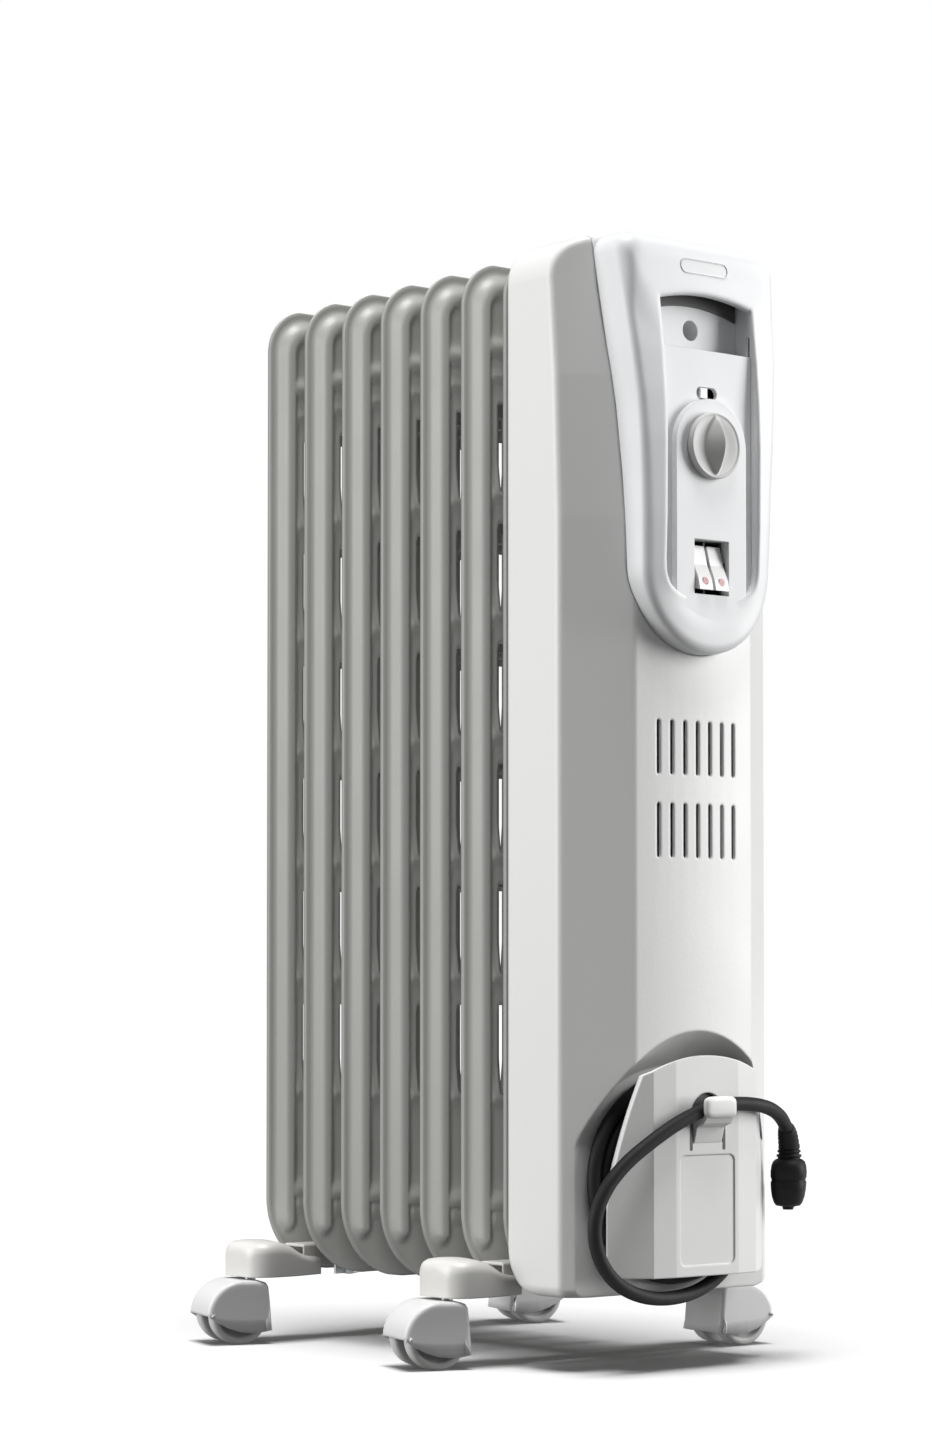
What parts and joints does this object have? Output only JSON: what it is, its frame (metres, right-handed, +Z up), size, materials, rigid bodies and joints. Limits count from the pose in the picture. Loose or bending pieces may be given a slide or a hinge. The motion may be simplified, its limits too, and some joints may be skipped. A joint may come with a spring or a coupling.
{
  "type": "oil filled radiator heater",
  "caption": "Free-standing oil filled radiator heater with pressed fins, a bevelled control casing, a wound mains lead and twin-wheel swivel casters.",
  "frame": {"origin": "on the floor, at the middle of the heater's length and width, casters included and the lead left out", "axes": "+Z up, the controls face -Y, +X to the right of someone facing the controls"},
  "size_m": [0.2804, 0.3408, 0.641],
  "materials": {
    "fin_paint": "semi-gloss enamel",
    "casing_paint": "satin enamel",
    "bezel_plastic": "satin moulded",
    "plate_plastic": "satin moulded",
    "knob_plastic": "satin moulded",
    "rocker_plastic": "moulded",
    "red_lens": "translucent",
    "dark_plastic": "moulded",
    "bright_steel": "zinc plated",
    "flange_brass": "turned",
    "element_steel": "drawn tube",
    "wire_rubber": "PVC",
    "winder_plastic": "satin moulded",
    "lead_rubber": "matte",
    "plug_rubber": "moulded",
    "pin_brass": "bright",
    "bracket_plastic": "satin enamel",
    "caster_plastic": "satin moulded",
    "wheel_plastic": "moulded"
  },
  "bodies": {
    "heater": {"fin_1": "fin_paint", "fin_2": "fin_paint", "fin_3": "fin_paint", "fin_4": "fin_paint", "fin_5": "fin_paint", "fin_6": "fin_paint", "fin_7": "fin_paint", "header_collars": "fin_paint", "header_cap_lower": "fin_paint", "header_cap_upper": "fin_paint", "header_cap_front": "fin_paint", "element_flange": "flange_brass", "heating_element": "element_steel", "casing": "casing_paint", "control_bezel": "bezel_plastic", "face_plate": "plate_plastic", "handle_insert": "plate_plastic", "thermostat_body": "dark_plastic", "switch_body": "dark_plastic", "slide_switch_body": "dark_plastic", "chassis_plate": "bright_steel", "thermal_cutout": "flange_brass", "terminal_block": "dark_plastic", "internal_wiring": "wire_rubber", "winder_cover": "winder_plastic", "winder_hub": "winder_plastic", "strain_relief": "lead_rubber", "power_cord": "lead_rubber", "cord_coil": "lead_rubber", "power_plug": "plug_rubber", "plug_pins": "pin_brass", "bracket_front": "bracket_plastic", "bracket_rear": "bracket_plastic", "u_bolts": "bright_steel", "wing_nuts": "bright_steel", "caster_stems": "bright_steel"},
    "knob": {"thermostat_knob": "knob_plastic", "thermostat_shaft": "bright_steel"},
    "rocker_left": {"rocker_left": "rocker_plastic", "rocker_lens_left": "red_lens"},
    "rocker_right": {"rocker_right": "rocker_plastic", "rocker_lens_right": "red_lens"},
    "slide_button": {"slide_button": "rocker_plastic"},
    "caster_front_left": {"caster_hood_front_left": "caster_plastic", "caster_axle_front_left": "bright_steel"},
    "wheel_a_front_left": {"caster_wheel_a_front_left": "wheel_plastic"},
    "wheel_b_front_left": {"caster_wheel_b_front_left": "wheel_plastic"},
    "caster_front_right": {"caster_hood_front_right": "caster_plastic", "caster_axle_front_right": "bright_steel"},
    "wheel_a_front_right": {"caster_wheel_a_front_right": "wheel_plastic"},
    "wheel_b_front_right": {"caster_wheel_b_front_right": "wheel_plastic"},
    "caster_rear_left": {"caster_hood_rear_left": "caster_plastic", "caster_axle_rear_left": "bright_steel"},
    "wheel_a_rear_left": {"caster_wheel_a_rear_left": "wheel_plastic"},
    "wheel_b_rear_left": {"caster_wheel_b_rear_left": "wheel_plastic"},
    "caster_rear_right": {"caster_hood_rear_right": "caster_plastic", "caster_axle_rear_right": "bright_steel"},
    "wheel_a_rear_right": {"caster_wheel_a_rear_right": "wheel_plastic"},
    "wheel_b_rear_right": {"caster_wheel_b_rear_right": "wheel_plastic"}
  },
  "joints": [
    {"name": "knob_turn", "type": "hinge", "parent": "heater", "child": "knob", "pos_m": [0, -0.158, 0.522], "axis": [0, -1, 0], "range_deg": [-135, 135]},
    {"name": "rocker_left_press", "type": "hinge", "parent": "heater", "child": "rocker_left", "pos_m": [-0.0062, -0.1515, 0.453], "axis": [1, 0, 0], "range_deg": [0, 16]},
    {"name": "rocker_right_press", "type": "hinge", "parent": "heater", "child": "rocker_right", "pos_m": [0.0062, -0.1515, 0.453], "axis": [1, 0, 0], "range_deg": [0, 16]},
    {"name": "slide_button_slide", "type": "slide", "parent": "heater", "child": "slide_button", "axis": [1, 0, 0], "range_m": [0, 0.006]},
    {"name": "swivel_front_left", "type": "hinge", "parent": "heater", "child": "caster_front_left", "pos_m": [-0.1035, -0.047, 0.04], "axis": [0, 0, 1], "continuous": true},
    {"name": "spin_a_front_left", "type": "hinge", "parent": "caster_front_left", "child": "wheel_a_front_left", "pos_m": [-0.11447, -0.04356, 0.018], "axis": [-0.299, -0.9542, 0], "continuous": true},
    {"name": "spin_b_front_left", "type": "hinge", "parent": "caster_front_left", "child": "wheel_b_front_left", "pos_m": [-0.11447, -0.04356, 0.018], "axis": [-0.299, -0.9542, 0], "continuous": true},
    {"name": "swivel_front_right", "type": "hinge", "parent": "heater", "child": "caster_front_right", "pos_m": [0.1035, -0.047, 0.04], "axis": [0, 0, 1], "continuous": true},
    {"name": "spin_a_front_right", "type": "hinge", "parent": "caster_front_right", "child": "wheel_a_front_right", "pos_m": [0.11494, -0.0482, 0.018], "axis": [0.1045, 0.9945, 0], "continuous": true},
    {"name": "spin_b_front_right", "type": "hinge", "parent": "caster_front_right", "child": "wheel_b_front_right", "pos_m": [0.11494, -0.0482, 0.018], "axis": [0.1045, 0.9945, 0], "continuous": true},
    {"name": "swivel_rear_left", "type": "hinge", "parent": "heater", "child": "caster_rear_left", "pos_m": [-0.1035, 0.143, 0.04], "axis": [0, 0, 1], "continuous": true},
    {"name": "spin_a_rear_left", "type": "hinge", "parent": "caster_rear_left", "child": "wheel_a_rear_left", "pos_m": [-0.11447, 0.14644, 0.018], "axis": [-0.299, -0.9542, 0], "continuous": true},
    {"name": "spin_b_rear_left", "type": "hinge", "parent": "caster_rear_left", "child": "wheel_b_rear_left", "pos_m": [-0.11447, 0.14644, 0.018], "axis": [-0.299, -0.9542, 0], "continuous": true},
    {"name": "swivel_rear_right", "type": "hinge", "parent": "heater", "child": "caster_rear_right", "pos_m": [0.1035, 0.143, 0.04], "axis": [0, 0, 1], "continuous": true},
    {"name": "spin_a_rear_right", "type": "hinge", "parent": "caster_rear_right", "child": "wheel_a_rear_right", "pos_m": [0.11447, 0.13956, 0.018], "axis": [0.299, 0.9542, 0], "continuous": true},
    {"name": "spin_b_rear_right", "type": "hinge", "parent": "caster_rear_right", "child": "wheel_b_rear_right", "pos_m": [0.11447, 0.13956, 0.018], "axis": [0.299, 0.9542, 0], "continuous": true}
  ]
}
